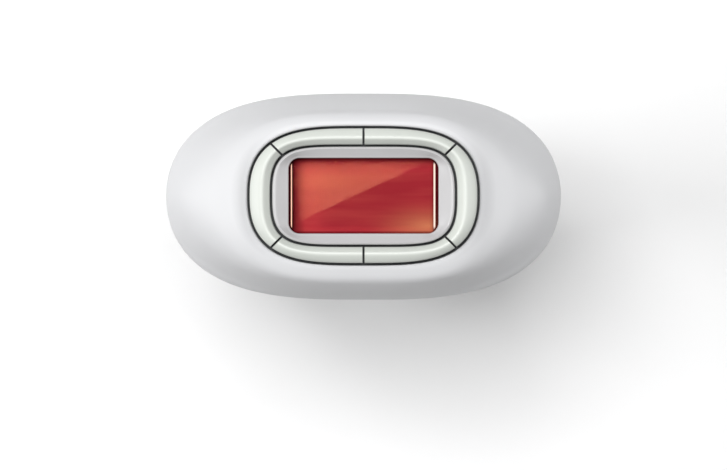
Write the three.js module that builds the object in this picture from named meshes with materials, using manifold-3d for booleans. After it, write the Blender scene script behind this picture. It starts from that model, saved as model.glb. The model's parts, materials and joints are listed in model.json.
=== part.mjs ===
// IPL hair remover: an upright handset with a flash window in its top end.
// Millimetres, +Z up. The handset stands on its tail, the window looks along +Z,
// the buttons are on the -Y side. The origin is at the middle of the feet.
import * as THREE from 'three';
import { ParametricGeometry } from 'three/addons/geometries/ParametricGeometry.js';
import { mergeVertices } from 'three/addons/utils/BufferGeometryUtils.js';
import Module from 'manifold-3d';

// ---- Driving dimensions ----------------------------------------------------

// Outer skin, from the tail to the window end: [half width, front, back, height], and the
// two exponents of the oval where they differ from BODY_POWERS.
const SKIN = [
  [26.5, 12.3, 13.2, 1.0],
  [28.3, 13.9, 14.9, 1.9],
  [29.8, 15.1, 16.2, 4.6],
  [31.8, 16.5, 17.7, 12],
  [34.2, 18.4, 19.6, 28],
  [35.4, 19.0, 20.4, 50],
  [34.6, 17.6, 19.8, 74],
  [33.4, 16.3, 18.9, 94],
  [34.4, 17.1, 18.9, 106],
  [37.4, 19.3, 19.9, 117],
  [39.7, 20.9, 20.9, 124],
  [40.5, 21.2, 21.2, 129],
  [40, 20.8, 20.7, 132, 2.6, 1.9],
  [37.2, 19.7, 19.2, 136, 2.7, 1.7],
  [31.6, 18.3, 17.5, 139.5, 3.2, 2],
  [27, 17.1, 16.6, 141.4, 3.7, 2.3],
  [24.8, 15.2, 15.3, 142.3, 3.7, 2.4],
  [23.4, 14.05, 14.05, 142.5, 3.45, 2.5],
];
const INSIDE_HEIGHTS = [4.6, 12, 50, 94, 106, 124];  // rows of the skin repeated inside
const HEAD_INSIDE_HEIGHTS = [132, 136, 139.5, 141.4];
const HEAD_WALL = 1.5;          // in the head, the inside lies this far in and down
const LIP_UNDER = 140.3;        // underside of the lip round the ring opening
const WALL = 2;                 // housing wall
const SEAM = 0.3;               // parting line between housing pieces
const GAP = 0.3;                // clearance between pieces that rest on each other
const BODY_POWERS = [3.0, 2.2]; // exponents of the oval |x/a|^p + |y/b|^q = 1
const RING_POWERS = SKIN.at(-1).slice(4);
const BEZEL_POWERS = [5.4, 3.0];
const SEGMENTS = 40;            // facets round an oval

const FOOT_HEIGHT = 1.0;        // floor of the housing above the ground
const CAP_TOP = 12;
const CAP_FLOOR = 3.4;
const COWL_BOTTOM = 112;

const PAD = { outer: [22.9, 13.55], inner: [18.85, 10.3], under: 140.6, crest: 144.4 };
const PAD_SPLIT = 0.45;         // gap between neighbouring pads
const PAD_APEX = 8.2;           // where the diagonal splits meet the centre line
const PAD_TRAVEL = 1.0;
const STEM_RADIUS = 1.2;
const STEM_LOW = 134.15;
const STEM_SEATS = {
  left: [-20.9, 0],
  right: [20.9, 0],
  top_left: [-8, 11.83],
  top_right: [8, 11.83],
  bottom_left: [-8, -11.83],
  bottom_right: [8, -11.83],
};

const WINDOW = { width: 30.2, depth: 15.2, corner: 2.2, top: 142.3 };
const BEZEL = { outer: [18.35, 9.85], under: 138.5, rim: 143.5, lip: 142.65 };
const CHASSIS = { outer: [27.6, 14.2], low: 134.2, high: 138.2 };
const LAMP = { height: 125.5, radius: 2.5, half: 19.5 };
const REFLECTOR = { half: 14.8, bowl: 5.2, mouth: 7.3, top: 138.2, wall: 0.6 };
const SENSOR_BOARD = { outer: [23.5, 13.6], low: 130, high: 131.6 };
const HEAT_SINK_TOP = 118;
const POST = { x: 23.8, y: 7.6, radius: 1.8 };

const FAN = { half: 12.5, bore: 11.6, low: 100.5, high: 108.5, blades: 7 };
const CAPACITOR = { radius: 10, x: 11.5, y: 4.5, low: 27, high: 66 };
const CONTROL_BOARD = { half: 17, front: -9.6, back: -8.0, low: 36, high: 99.5 };
const POWER_BOARD = { half: 20, front: -3.6, back: -2.0, low: 70, high: 98 };

const FLASH_BUTTON = { z: 93, width: 20, height: 11, face: -17.0, flange: -13.6, travel: 0.8 };
const POWER_BUTTON = { z: 62, width: 9, height: 9, face: -18.9, flange: -15.7, travel: 0.8 };
const STEM_TIP = -12.1;         // inner end of both buttons' stems
const PANEL = { width: 28, low: 52, high: 105, depth: 1.2 };
const LEVEL_LIGHTS = [72, 75, 78, 81, 84];
const SCREWS = { x: 24, heights: [24, 99.5], head: 2.7, shank: 1.5, seat: 9.0 };
const JACK = { half: 5, nose: 4.6, low: 7.3, block: 8.3, high: 18.3, bore: 2.9, pin: 1.0, recess: 5 };

// ---- Materials --------------------------------------------------------------

const finish = (color, roughness, metalness = 0) =>
  new THREE.MeshStandardMaterial({ color, roughness, metalness });
const MATERIALS = {
  shell: finish(0xe2e3e8, 0.35, 0.1),
  pad: finish(0xe4e9e1, 0.3),
  bezel: finish(0xc3c3c4, 0.4),
  filter: finish(0xb5352f, 0.05),
  rubber: finish(0x2c2c2e, 0.8),
  structural: finish(0x3a3c40, 0.6),
  mirror: finish(0xe8e8ea, 0.1, 1),
  quartz: finish(0xdfe8ee, 0.05),
  steel: finish(0xb4b6ba, 0.3, 1),
  ceramic: finish(0xefece4, 0.5),
  lead: finish(0x9c2420, 0.6),
  board: finish(0x1d5a34, 0.5),
  sleeve: finish(0x23252c, 0.4),
  ferrite: finish(0x4a4744, 0.7),
  copper: finish(0xb06a3c, 0.3, 0.9),
  aluminium: finish(0xb9bcc0, 0.35, 1),
  button: finish(0xd9dbde, 0.3),
  panel: finish(0x9da0a6, 0.25),
  light: finish(0xf4f6f8, 0.2),
};

// ---- Solids -----------------------------------------------------------------

const wasm = await Module();
wasm.setup();

function weld(geometry) {
  geometry.deleteAttribute('normal');
  geometry.deleteAttribute('uv');
  return mergeVertices(geometry);
}

function toSolid(geometry) {
  const welded = weld(geometry.clone());
  return new wasm.Manifold(new wasm.Mesh({
    numProp: 3,
    vertProperties: new Float32Array(welded.attributes.position.array),
    triVerts: new Uint32Array(welded.index.array),
  }));
}

function toGeometry(solid) {
  const mesh = solid.getMesh();
  const geometry = new THREE.BufferGeometry();
  geometry.setAttribute('position', new THREE.BufferAttribute(mesh.vertProperties, 3));
  geometry.setIndex(new THREE.BufferAttribute(mesh.triVerts, 1));
  return geometry;
}

function combine(first, others, method) {
  return toGeometry(others.reduce((solid, other) => solid[method](toSolid(other)), toSolid(first)));
}
const join = (first, ...others) => combine(first, others, 'add');
const cut = (first, ...others) => combine(first, others, 'subtract');
const common = (first, ...others) => combine(first, others, 'intersect');

const box = (x0, x1, y0, y1, z0, z1) =>
  new THREE.BoxGeometry(x1 - x0, y1 - y0, z1 - z0)
    .translate((x0 + x1) / 2, (y0 + y1) / 2, (z0 + z1) / 2);
const slab = (z0, z1) => box(-60, 60, -60, 60, z0, z1);

function rod(axis, radius, from, to, [u, v], sides = 16) {
  const geometry = new THREE.CylinderGeometry(radius, radius, to - from, sides);
  const middle = (from + to) / 2;
  if (axis === 'x') return geometry.rotateZ(Math.PI / 2).translate(middle, u, v);
  if (axis === 'y') return geometry.translate(u, middle, v);
  return geometry.rotateX(Math.PI / 2).translate(u, v, middle);
}

// A flat outline in x and y, pushed up from z0 to z1.
const rise = (shape, z0, z1, curveSegments = 2) =>
  new THREE.ExtrudeGeometry(shape, { depth: z1 - z0, bevelEnabled: false, curveSegments })
    .translate(0, 0, z0);
// A flat outline in x and z, pushed through the front or back wall from y0 to y1.
const through = (shape, y0, y1, curveSegments = 2) =>
  new THREE.ExtrudeGeometry(shape, { depth: y1 - y0, bevelEnabled: false, curveSegments })
    .rotateX(Math.PI / 2).translate(0, y1, 0);

function rounded(width, height, radius, x = 0, y = 0) {
  const [w, h] = [width / 2, height / 2];
  const shape = new THREE.Shape();
  shape.absarc(x + w - radius, y + h - radius, radius, 0, Math.PI / 2);
  shape.absarc(x - w + radius, y + h - radius, radius, Math.PI / 2, Math.PI);
  shape.absarc(x - w + radius, y - h + radius, radius, Math.PI, 1.5 * Math.PI);
  shape.absarc(x + w - radius, y - h + radius, radius, 1.5 * Math.PI, 2 * Math.PI);
  return shape;
}

function ring(outline, hole, divisions = 2) {
  outline.holes.push(new THREE.Path(hole.getPoints(divisions).reverse()));
  return outline;
}

// ---- Ovals lofted into closed shells -------------------------------------------

// One oval: half width a, half depth to the front and to the back, height, exponents.
const oval = (a, front, back, z, powers) => ({ a, front, back, z, powers });

function ovalPoint({ a, front, back, z, powers: [p, q] }, turn, target) {
  const angle = 2 * Math.PI * (turn % 1);
  const cos = Math.cos(angle);
  const sin = Math.sin(angle);
  const depth = sin < 0 ? front : back;
  const x = a * Math.sign(cos) * Math.abs(cos) ** (2 / p);
  const y = depth * Math.sign(sin) * Math.abs(sin) ** (2 / q);
  return target.set(x, y, z);
}

// The ovals form a closed loop: up the outside and down the inside.
function loft(ovals, segments = SEGMENTS) {
  const loop = [...ovals, ovals[0]];
  return weld(new ParametricGeometry(
    (u, v, target) => ovalPoint(loop[Math.round(v * ovals.length)], u, target),
    segments, ovals.length,
  ));
}

// Rows of the skin without exponents of their own have the body's.
const skinOval = ([a, front, back, z, ...powers], inset = 0) =>
  oval(a - inset, front - inset, back - inset, z, powers.length ? powers : BODY_POWERS);
const plainRing = (radius, z) => oval(radius, radius, radius, z, [2, 2]);
const lowered = (shape, drop) => ({ ...shape, z: shape.z - drop });

// A layer of the outer skin, from outset millimetres proud of it to inset below it.
function band(outset, inset, z0, z1) {
  const rows = SKIN.filter((row) => row[3] > 5 && row[3] < 130);
  const outer = rows.map((row) => skinOval(row, -outset));
  const inner = rows.map((row) => skinOval(row, inset)).reverse();
  return common(loft([...outer, ...inner]), slab(z0, z1));
}

// ---- Housing --------------------------------------------------------------------

function housing() {
  const outside = SKIN.map((row) => skinOval(row));
  const rowsAt = (heights) => SKIN.filter((row) => heights.includes(row[3])).reverse();
  const [a, front, back] = SKIN.at(-1);
  const inside = [
    oval(a, front, back, LIP_UNDER, RING_POWERS),
    ...rowsAt(HEAD_INSIDE_HEIGHTS).map((row) => lowered(skinOval(row, HEAD_WALL), HEAD_WALL)),
    ...rowsAt(INSIDE_HEIGHTS).map((row) => skinOval(row, WALL)),
    oval(27.0, 12.4, 13.5, CAP_FLOOR, BODY_POWERS),
  ];
  const collar = [
    plainRing(JACK.recess + 1.6, CAP_FLOOR),
    plainRing(JACK.recess + 1.6, JACK.low - GAP),
    plainRing(JACK.recess, JACK.low - GAP),
    plainRing(JACK.recess, FOOT_HEIGHT),
  ];
  return loft([...outside, ...inside, ...collar]);
}

const pill = ({ width, height, z }, grow = 0) => {
  const radius = Math.min(width, height) / 2 + grow;
  return rounded(width + 2 * grow, height + 2 * grow, radius - 0.001, 0, z);
};
const panelOutline = (grow = 0) =>
  rounded(PANEL.width + 2 * grow, PANEL.high - PANEL.low + 2 * grow,
    PANEL.width / 2 + grow - 0.001, 0, (PANEL.low + PANEL.high) / 2);
const inFront = (shape) => through(shape, -30, -5);

const screwPlaces = SCREWS.heights.flatMap((z) => [[-SCREWS.x, z], [SCREWS.x, z]]);

// Screw boss along Y, trimmed to stay inside the skin.
function boss([x, z], y0, y1) {
  const core = SKIN.filter((row) => row[3] > 5 && row[3] < 130);
  const filled = loft([
    ...core.map((row) => skinOval(row, WALL / 2)),
    plainRing(0.5, core.at(-1)[3]),
    plainRing(0.5, core[0][3]),
  ]);
  return common(rod('y', 3.3, y0, y1, [x, z], 12), filled);
}

function frontGrip(shell) {
  const half = common(shell, box(-60, 60, -60, -SEAM / 2, CAP_TOP + SEAM, COWL_BOTTOM - SEAM));
  const bosses = screwPlaces.map((place) => boss(place, -25, -SEAM));
  const pilots = screwPlaces.map((place) => rod('y', SCREWS.shank + 0.2, -9, 1, place, 8));
  const recess = common(inFront(panelOutline(0.2)), band(2, PANEL.depth, 40, 115));
  const holes = [FLASH_BUTTON, POWER_BUTTON].map((button) => inFront(pill(button, 0.4)));
  const lights = LEVEL_LIGHTS.map((z) => rod('y', 1.1, -25, -5, [0, z], 8));
  return cut(join(half, ...bosses), recess, ...holes, ...lights, ...pilots);
}

function backGrip(shell) {
  const half = common(shell, box(-60, 60, SEAM / 2, 60, CAP_TOP + SEAM, COWL_BOTTOM - SEAM));
  const bosses = screwPlaces.map((place) => boss(place, SEAM, 25));
  const shanks = screwPlaces.map((place) => rod('y', SCREWS.shank + 0.2, -1, 25, place, 8));
  const heads = screwPlaces.map((place) => rod('y', SCREWS.head + 0.3, SCREWS.seat, 30, place, 12));
  const vents = [78, 82, 86, 90, 94].map((z) => through(rounded(24, 2, 0.99, 0, z), 5, 30, 1));
  return cut(join(half, ...bosses), ...shanks, ...heads, ...vents);
}

const footOutline = (side, grow = 0) =>
  rounded(9 + 2 * grow, 15 + 2 * grow, 4.4 + grow, side * 18, 0.5);

function baseCap(shell) {
  const cap = common(shell, slab(0, CAP_TOP));
  const pockets = [-1, 1].map((side) => rise(footOutline(side, 0.25), 0, 2.1));
  return cut(cap, ...pockets);
}
const foot = (side) => rise(footOutline(side), 0, 1.8);

function screw([x, z]) {
  const head = rod('y', SCREWS.head, SCREWS.seat + GAP, SCREWS.seat + GAP + 1.8, [x, z], 12);
  const shank = rod('y', SCREWS.shank, -8.5, SCREWS.seat + GAP + 0.1, [x, z], 8);
  const drive = rod('y', 1.1, SCREWS.seat + GAP + 0.8, 20, [x, z], 6);
  return cut(join(head, shank), drive);
}

// ---- Controls --------------------------------------------------------------------

function controlPanel() {
  const plate = common(inFront(panelOutline()), band(0, PANEL.depth - GAP, 40, 115));
  const trimHole = inFront(pill(FLASH_BUTTON, 1.8));
  const powerHole = inFront(pill(POWER_BUTTON, 0.4));
  const lights = LEVEL_LIGHTS.map((z) => rod('y', 1.1, -25, -5, [0, z], 8));
  return cut(plate, trimHole, powerHole, ...lights);
}

function flashButtonTrim() {
  const outline = inFront(pill(FLASH_BUTTON, 1.6));
  const sleeve = common(outline, band(0.35, PANEL.depth - GAP, 40, 115));
  return cut(sleeve, inFront(pill(FLASH_BUTTON, 0.4)));
}

function button(spec) {
  const cap = through(pill(spec), spec.face, spec.flange + 0.1);
  const flange = through(pill(spec, 1.5), spec.flange, spec.flange + 0.8);
  const stem = rod('y', 2, spec.flange + 0.7, STEM_TIP, [0, spec.z], 12);
  return join(cap, flange, stem);
}

const buttonSwitch = ({ z, travel }) =>
  box(-3, 3, STEM_TIP + travel + 0.2, CONTROL_BOARD.front - 0.2, z - 3, z + 3);

function levelLightGuide() {
  const filled = band(0, 6, 60, 100);
  const pins = LEVEL_LIGHTS.map((z) =>
    common(rod('y', 0.8, -25, -13.2, [0, z], 8), filled));
  const bar = box(-1.5, 1.5, -13.3, -12.0, LEVEL_LIGHTS[0] - 1.5, LEVEL_LIGHTS.at(-1) + 1.5);
  return join(bar, ...pins);
}

// ---- Contact ring -------------------------------------------------------------------

// Cross-section of a pad: [share of the way from the outer to the inner edge, height].
const PAD_SECTION = [
  [0, PAD.under], [0, 143.1], [0.1, 143.75], [0.28, 144.15], [0.45, PAD.crest - 0.05],
  [0.72, PAD.crest], [0.86, 144.0], [1, 143.2], [1, PAD.under],
];

function padRing() {
  const mix = THREE.MathUtils.lerp;
  const share = (t, z) => oval(
    mix(PAD.outer[0], PAD.inner[0], t), mix(PAD.outer[1], PAD.inner[1], t),
    mix(PAD.outer[1], PAD.inner[1], t), z,
    RING_POWERS.map((power, i) => mix(power, BEZEL_POWERS[i], t)),
  );
  return loft(PAD_SECTION.map(([t, z]) => share(t, z)), 60);
}

// The wedge of the ring that one pad fills, seen from above.
function padWedge(name) {
  const half = PAD_SPLIT / 2;
  const slant = half * Math.SQRT2;
  const reach = 40;
  const side = name.includes('left') ? -1 : 1;
  const end = name.includes('top') ? 1 : -1;
  const corners = STEM_SEATS[name][1] === 0
    ? [[PAD_APEX + slant, 0], [PAD_APEX + slant + reach, reach], [PAD_APEX + slant + reach, -reach]]
    : [[half, 0], [PAD_APEX - slant, 0], [PAD_APEX - slant + reach, reach * end], [half, reach * end]];
  const shape = new THREE.Shape(corners.map(([x, y]) => new THREE.Vector2(side * x, y)));
  return rise(shape, 130, 150);
}

function contactPad(name, whole) {
  const stem = rod('z', STEM_RADIUS, STEM_LOW, PAD.under + 0.5, STEM_SEATS[name], 12);
  return join(common(whole, padWedge(name)), stem);
}

function padSpring([x, y]) {
  const outline = new THREE.Shape().absarc(x, y, 1.8, 0, 2 * Math.PI);
  const hole = new THREE.Path().absarc(x, y, 1.5, 0, 2 * Math.PI);
  return rise(ring(outline, hole, 6), CHASSIS.high + GAP, PAD.under - GAP, 6);
}

const padSensor = ([x, y]) =>
  box(x - 1.2, x + 1.2, y - 1.2, y + 1.2, SENSOR_BOARD.high + 0.15, STEM_LOW - PAD_TRAVEL - 0.2);

// ---- Window ---------------------------------------------------------------------------

const windowOutline = (grow) =>
  rounded(WINDOW.width + 2 * grow, WINDOW.depth + 2 * grow, WINDOW.corner + grow);

function windowBezel() {
  const [a, b] = BEZEL.outer;
  const rim = (inset, z) => oval(a - inset, b - inset, b - inset, z, BEZEL_POWERS);
  const dish = loft([
    rim(8, BEZEL.under), rim(0, BEZEL.under), rim(0, BEZEL.rim),
    rim(2.4, BEZEL.lip), rim(8, BEZEL.lip),
  ], 48);
  return cut(dish, rise(windowOutline(0), 130, 150), rise(windowOutline(1.2), 130, 140.7));
}

function filterWindow() {
  const pane = rise(windowOutline(-0.3), 140.2, WINDOW.top);
  const flange = rise(windowOutline(0.9), 139.6, 140.4);
  return join(pane, flange);
}

const windowGasket = () =>
  rise(ring(windowOutline(0.9), windowOutline(-0.5)), BEZEL.under, 139.3);

// ---- Flash unit ---------------------------------------------------------------------------

function ovalPlate([a, b], z0, z1, powers, hole) {
  const bore = plainRing(2, z0);
  const plate = loft([
    bore, oval(a, b, b, z0, powers), oval(a, b, b, z1, powers), { ...bore, z: z1 },
  ], 32);
  return cut(plate, hole);
}

function opticsChassis() {
  const aperture = box(-15.2, 15.2, -8.2, 8.2, 120, 145);
  const plate = ovalPlate(CHASSIS.outer, CHASSIS.low, CHASSIS.high, BODY_POWERS, aperture);
  const posts = [-1, 1].flatMap((sx) => [-1, 1].map((sy) =>
    rod('z', POST.radius, HEAT_SINK_TOP + GAP, CHASSIS.low + 0.5, [sx * POST.x, sy * POST.y], 12)));
  const bores = Object.values(STEM_SEATS).map((seat) =>
    rod('z', STEM_RADIUS + GAP, 130, 145, seat, 12));
  return cut(join(plate, ...posts), ...bores);
}

function reflector() {
  const { bowl, mouth, top, wall, half } = REFLECTOR;
  const trough = (grow) => {
    const shape = new THREE.Shape();
    shape.moveTo(mouth + grow, top);
    shape.absarc(0, LAMP.height, bowl + grow, 0, -Math.PI, true);
    shape.lineTo(-mouth - grow, top);
    return shape;
  };
  const along = (shape, length) =>
    new THREE.ExtrudeGeometry(shape, { depth: length, bevelEnabled: false, curveSegments: 7 })
      .translate(0, 0, -length / 2).rotateX(Math.PI / 2).rotateZ(Math.PI / 2);
  const solid = along(trough(wall), 2 * half);
  const inside = along(trough(0), 2 * half - 2 * wall).translate(0, 0, 0.001);
  const lampWay = rod('x', LAMP.radius + 0.4, -30, 30, [0, LAMP.height], 16);
  return cut(solid, inside, lampWay);
}

const flashLamp = () => rod('x', LAMP.radius, -LAMP.half, LAMP.half, [0, LAMP.height]);
const alongSide = (side, from, to) => (side < 0 ? [-to, -from] : [from, to]);

function lampCap(side) {
  const [from, to] = alongSide(side, LAMP.half + GAP, LAMP.half + 4);
  return rod('x', 3, from, to, [0, LAMP.height]);
}

function lampHolder(side) {
  const [from, to] = alongSide(side, 15.2, 18.7);
  const block = box(from, to, -5, 5, HEAT_SINK_TOP + GAP, 129.5);
  return cut(block, rod('x', LAMP.radius + 0.2, -30, 30, [0, LAMP.height]));
}

function lampLead(side) {
  const path = new THREE.CatmullRomCurve3([
    [24.1, 0, LAMP.height], [26, 0, 123.6], [26, 0, 117], [23.6, 0, 112],
    [18.4, 0, 108.6], [16.7, -1, 104], [16.7, -2.8, POWER_BOARD.high + GAP],
  ].map(([x, y, z]) => new THREE.Vector3(side * x, y, z)));
  const section = new THREE.Shape().absarc(0, 0, 0.8, 0, 2 * Math.PI);
  return new THREE.ExtrudeGeometry(section, { steps: 14, extrudePath: path, curveSegments: 4 });
}

function sensorBoard() {
  const aperture = box(-15.4, 15.4, -8.4, 8.4, 120, 145);
  const { outer, low, high } = SENSOR_BOARD;
  return ovalPlate(outer, low, high, BODY_POWERS, aperture);
}

function heatSink() {
  const low = HEAT_SINK_TOP - 1.5;
  const plate = box(-29, 29, -10, 10, low, HEAT_SINK_TOP);
  const fins = [-18, -13.5, -9, -4.5, 0, 4.5, 9, 13.5, 18].map((x) =>
    box(x - 0.5, x + 0.5, -9, 9, 111, low + 0.2));
  const leadWays = [-26, 26].map((x) => rod('z', 1.6, 110, 120, [x, 0], 12));
  return cut(join(plate, ...fins), ...leadWays);
}

// ---- Cooling fan ---------------------------------------------------------------------------

function fanFrame() {
  const { half, bore, low, high } = FAN;
  const block = rise(rounded(2 * half, 2 * half, 2), low, high, 3);
  const duct = cut(block, rod('z', bore, low - 1, high + 1, [0, 0], 28));
  const hub = rod('z', 5, low, low + 1.5, [0, 0]);
  const struts = [0, 1, 2].map((i) =>
    new THREE.BoxGeometry(half, 1.6, 1.2).translate(half / 2, 0, low + 0.6)
      .rotateZ(i * 2 * Math.PI / 3 + Math.PI / 2));
  return common(join(duct, hub, ...struts), box(-half, half, -half, half, low, high));
}

function fanRotor() {
  const low = FAN.low + 1.8;
  const high = FAN.high - 0.4;
  const hub = rod('z', 5.4, low, high, [0, 0]);
  const blades = Array.from({ length: FAN.blades }, (_, i) =>
    new THREE.BoxGeometry(6.4, 0.8, 7).rotateX(0.7).translate(7.7, 0, (low + high) / 2)
      .rotateZ(i * 2 * Math.PI / FAN.blades));
  const sweep = rod('z', 10.9, low, high, [0, 0], 18);
  return common(join(hub, ...blades), sweep);
}

// ---- Power unit ------------------------------------------------------------------------------

function flashCapacitor(side) {
  const { radius, x, y, low, high } = CAPACITOR;
  const profile = [
    [0, low], [radius, low], [radius, high - 4], [radius - 0.7, high - 3.4],
    [radius, high - 2.8], [radius, high], [radius - 1.6, high], [radius - 1.6, high - 0.4],
    [0, high - 0.4],
  ].map(([r, z]) => new THREE.Vector2(r, z));
  return new THREE.LatheGeometry(profile, 18).rotateX(Math.PI / 2).translate(side * x, y, 0);
}

const boardPlate = ({ half, front, back, low, high }) => box(-half, half, front, back, low, high);

function stepUpTransformer() {
  const y0 = POWER_BOARD.back + GAP;
  const core = box(-18.5, -3.5, y0 + 2, y0 + 12, 74, 88);
  const bobbin = box(-17, -5, y0, y0 + 13.5, 77, 85);
  return join(core, bobbin);
}

function triggerCoil() {
  const y = POWER_BOARD.back + GAP + 5;
  const winding = rod('z', 4.4, 76, 88, [10, y]);
  const flanges = [74.5, 88].map((z) => rod('z', 5, z, z + 1.5, [10, y]));
  return join(winding, ...flanges);
}

function dcInlet() {
  const { half, nose, low, block, high, bore, pin } = JACK;
  const body = join(box(-half, half, -half, half, block, high), rod('z', nose, low, block + 0.1, [0, 0]));
  const socket = rod('z', bore, low - 1, high - 2, [0, 0]);
  const contact = rod('z', pin, low + 1, high - 1, [0, 0], 12);
  return join(cut(body, socket), contact);
}

// ---- Assembly --------------------------------------------------------------------------------

const handset = new THREE.Group();

function place(name, geometry, material) {
  const mesh = new THREE.Mesh(geometry, MATERIALS[material]);
  mesh.name = name;
  handset.add(mesh);
}

const shell = housing();
place('head_cowl', common(shell, slab(COWL_BOTTOM, 150)), 'shell');
place('front_grip_shell', frontGrip(shell), 'shell');
place('back_grip_shell', backGrip(shell), 'shell');
place('base_cap', baseCap(shell), 'shell');
place('control_panel', controlPanel(), 'panel');
place('flash_button_trim', flashButtonTrim(), 'steel');
place('flash_button', button(FLASH_BUTTON), 'button');
place('power_button', button(POWER_BUTTON), 'button');
place('flash_button_switch', buttonSwitch(FLASH_BUTTON), 'structural');
place('power_button_switch', buttonSwitch(POWER_BUTTON), 'structural');
place('level_light_guide', levelLightGuide(), 'light');

const pads = padRing();
for (const [name, seat] of Object.entries(STEM_SEATS)) {
  place(`contact_pad_${name}`, contactPad(name, pads), 'pad');
  place(`pad_spring_${name}`, padSpring(seat), 'steel');
  place(`pad_sensor_${name}`, padSensor(seat), 'structural');
}

place('window_bezel', windowBezel(), 'bezel');
place('filter_window', filterWindow(), 'filter');
place('window_gasket', windowGasket(), 'rubber');
place('optics_chassis', opticsChassis(), 'structural');
place('reflector', reflector(), 'mirror');
place('flash_lamp', flashLamp(), 'quartz');
place('sensor_board', sensorBoard(), 'board');
place('heat_sink', heatSink(), 'aluminium');
place('fan_frame', fanFrame(), 'structural');
place('fan_rotor', fanRotor(), 'structural');
place('control_board', boardPlate(CONTROL_BOARD), 'board');
place('power_board', boardPlate(POWER_BOARD), 'board');
place('step_up_transformer', stepUpTransformer(), 'ferrite');
place('trigger_coil', triggerCoil(), 'copper');
place('dc_inlet', dcInlet(), 'structural');

for (const [name, side] of [['left', -1], ['right', 1]]) {
  place(`foot_${name}`, foot(side), 'rubber');
  place(`lamp_cap_${name}`, lampCap(side), 'steel');
  place(`lamp_holder_${name}`, lampHolder(side), 'ceramic');
  place(`lamp_lead_${name}`, lampLead(side), 'lead');
  place(`flash_capacitor_${name}`, flashCapacitor(side), 'sleeve');
}
screwPlaces.forEach((spot, i) => place(`housing_screw_${i + 1}`, screw(spot), 'steel'));

export default handset;
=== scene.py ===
"""An IPL hair remover that stands on its tail, seen from straight above its flash window.

Lengths in the shape code are millimetres in the row frame; MM turns them into metres.
"""
import json
import math

import bmesh
import bpy
import numpy as np
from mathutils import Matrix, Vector


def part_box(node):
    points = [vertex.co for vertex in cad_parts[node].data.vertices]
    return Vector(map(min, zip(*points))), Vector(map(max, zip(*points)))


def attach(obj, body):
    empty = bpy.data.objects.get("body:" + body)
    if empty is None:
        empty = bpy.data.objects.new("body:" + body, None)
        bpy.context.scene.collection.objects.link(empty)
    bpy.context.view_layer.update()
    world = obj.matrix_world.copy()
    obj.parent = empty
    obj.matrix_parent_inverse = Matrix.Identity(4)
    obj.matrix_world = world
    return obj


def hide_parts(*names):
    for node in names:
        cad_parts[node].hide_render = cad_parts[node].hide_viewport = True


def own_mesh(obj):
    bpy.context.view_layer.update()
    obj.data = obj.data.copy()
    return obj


MM = 0.001
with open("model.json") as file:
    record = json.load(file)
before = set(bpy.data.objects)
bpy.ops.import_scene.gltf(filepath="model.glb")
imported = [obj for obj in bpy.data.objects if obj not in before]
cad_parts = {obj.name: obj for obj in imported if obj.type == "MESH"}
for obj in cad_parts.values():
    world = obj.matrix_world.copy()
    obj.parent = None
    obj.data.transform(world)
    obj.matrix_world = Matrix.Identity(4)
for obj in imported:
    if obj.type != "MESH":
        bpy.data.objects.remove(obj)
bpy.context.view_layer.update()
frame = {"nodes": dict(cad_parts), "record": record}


def box(node):
    """Lowest and highest corner of a CAD node, in millimetres."""
    low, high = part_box(node)
    return np.array(low) / MM, np.array(high) / MM


# ---- Driving shape: the same oval sections as the CAD housing -----------------------

# [half width, front, back, height, p, q] from the tail to the ring opening; p and q are
# the exponents of the oval |x/a|^p + |y/b|^q = 1
SKIN = np.array([
    [26.5, 12.3, 13.2, 1.0, 3, 2.2], [28.3, 13.9, 14.9, 1.9, 3, 2.2],
    [29.8, 15.1, 16.2, 4.6, 3, 2.2], [31.8, 16.5, 17.7, 12, 3, 2.2],
    [34.2, 18.4, 19.6, 28, 3, 2.2], [35.4, 19.0, 20.4, 50, 3, 2.2],
    [34.6, 17.6, 19.8, 74, 3, 2.2], [33.4, 16.3, 18.9, 94, 3, 2.2],
    [34.4, 17.1, 18.9, 106, 3, 2.2], [37.4, 19.3, 19.9, 117, 3, 2.2],
    [39.7, 20.9, 20.9, 124, 3, 2.2], [40.5, 21.2, 21.2, 129, 3, 2.2],
    [40, 20.8, 20.7, 132, 2.6, 1.9], [37.2, 19.7, 19.2, 136, 2.7, 1.7],
    [31.6, 18.3, 17.5, 139.5, 3.2, 2], [27, 17.1, 16.6, 141.4, 3.7, 2.3],
    [24.8, 15.2, 15.3, 142.3, 3.7, 2.4], [23.4, 14.05, 14.05, 142.5, 3.45, 2.5],
])
RING_POWERS = SKIN[-1, 4:]
BEZEL_POWERS = np.array([5.4, 3.0])
WALL = 2.0                            # housing wall
SEAM = 0.15                           # half the parting line between the two grips
EDGE = 0.3                            # rounding of moulded edges
NEAR_EDGE = 0.1                       # how far in the middle of that rounding lies
CAP_TOP = box("base_cap")[1][2]
GRIP_LOW, GRIP_HIGH = box("front_grip_shell")[0][2], box("front_grip_shell")[1][2]
COWL_LOW = box("head_cowl")[0][2]
CAP_LOW = box("base_cap")[0][2]
PAD_TOP = box("contact_pad_left")[1][2]
PAD_UNDER = 140.6
PANE_TOP = box("filter_window")[1][2]
TURNS = np.linspace(0, 2 * math.pi, 256, endpoint=False)  # directions round an oval


# ---- Mesh tools --------------------------------------------------------------------

def spline(rows, steps):
    """Catmull-Rom curve through the rows, with steps points to each span."""
    ends = np.vstack([2 * rows[0] - rows[1], rows, 2 * rows[-1] - rows[-2]])
    t = np.linspace(0, 1, steps, endpoint=False)[:, None]
    spans = []
    for a, b, c, d in zip(ends, ends[1:], ends[2:], ends[3:]):
        spans.append(0.5 * (2 * b + (c - a) * t + (2 * a - 5 * b + 4 * c - d) * t ** 2
                            + (3 * b - a - 3 * c + d) * t ** 3))
    return np.vstack(spans + [rows[-1:]])


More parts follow.
